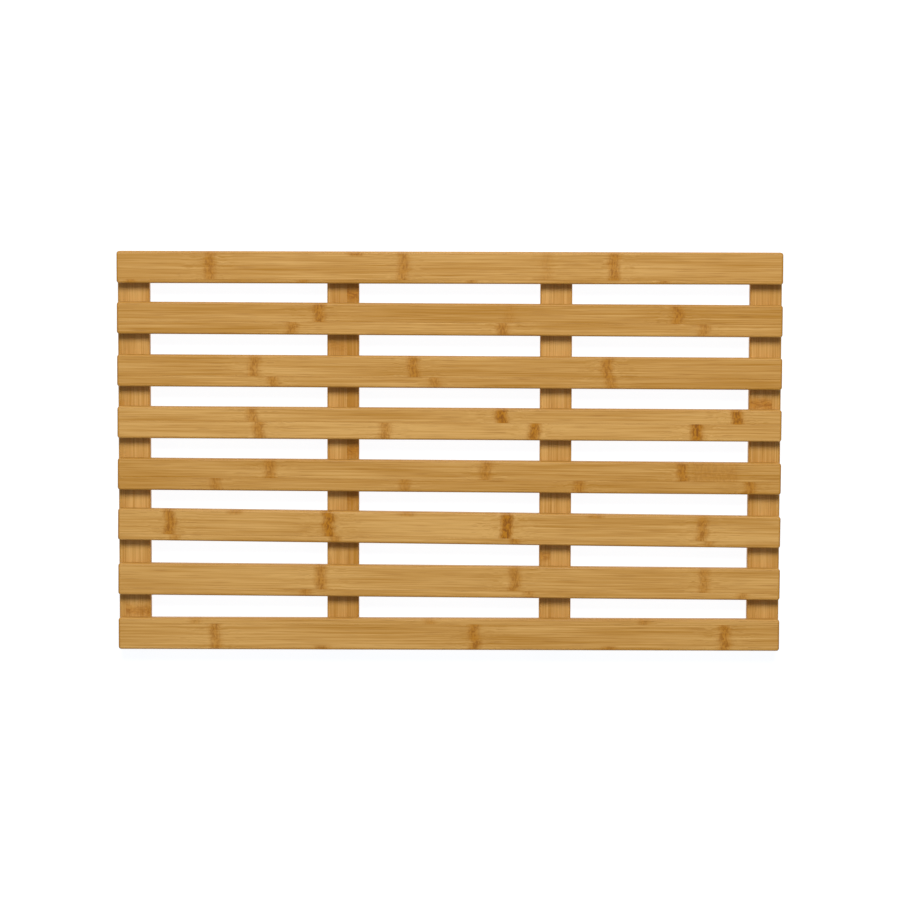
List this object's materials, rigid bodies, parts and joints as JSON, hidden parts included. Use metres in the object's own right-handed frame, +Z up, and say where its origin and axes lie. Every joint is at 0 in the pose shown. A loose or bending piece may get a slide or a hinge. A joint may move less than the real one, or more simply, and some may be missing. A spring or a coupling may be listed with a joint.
{
  "type": "bath mat",
  "caption": "Rigid slatted bamboo bath mat: rounded slats screwed from below onto cross battens with round rubber feet, to stand on while water drains through",
  "frame": {"origin": "on the floor, under the middle of the mat", "axes": "+X along the slats, +Y from the front edge to the back edge, +Z up out of the tread face"},
  "size_m": [0.5002, 0.301, 0.0205],
  "materials": {
    "slat_bamboo": "satin lacquered bamboo",
    "batten_bamboo": "satin lacquered bamboo",
    "screw_steel": "bright zinc plated",
    "foot_rubber": "matt moulded rubber"
  },
  "bodies": {
    "root": {"back_slat": "slat_bamboo", "slat_2": "slat_bamboo", "slat_3": "slat_bamboo", "slat_4": "slat_bamboo", "slat_5": "slat_bamboo", "slat_6": "slat_bamboo", "slat_7": "slat_bamboo", "front_slat": "slat_bamboo", "left_end_batten": "batten_bamboo", "left_middle_batten": "batten_bamboo", "right_middle_batten": "batten_bamboo", "right_end_batten": "batten_bamboo", "left_end_screws": "screw_steel", "left_middle_screws": "screw_steel", "right_middle_screws": "screw_steel", "right_end_screws": "screw_steel", "left_end_back_foot": "foot_rubber", "left_end_front_foot": "foot_rubber", "left_middle_back_foot": "foot_rubber", "left_middle_front_foot": "foot_rubber", "right_middle_back_foot": "foot_rubber", "right_middle_front_foot": "foot_rubber", "right_end_back_foot": "foot_rubber", "right_end_front_foot": "foot_rubber"}
  },
  "joints": []
}
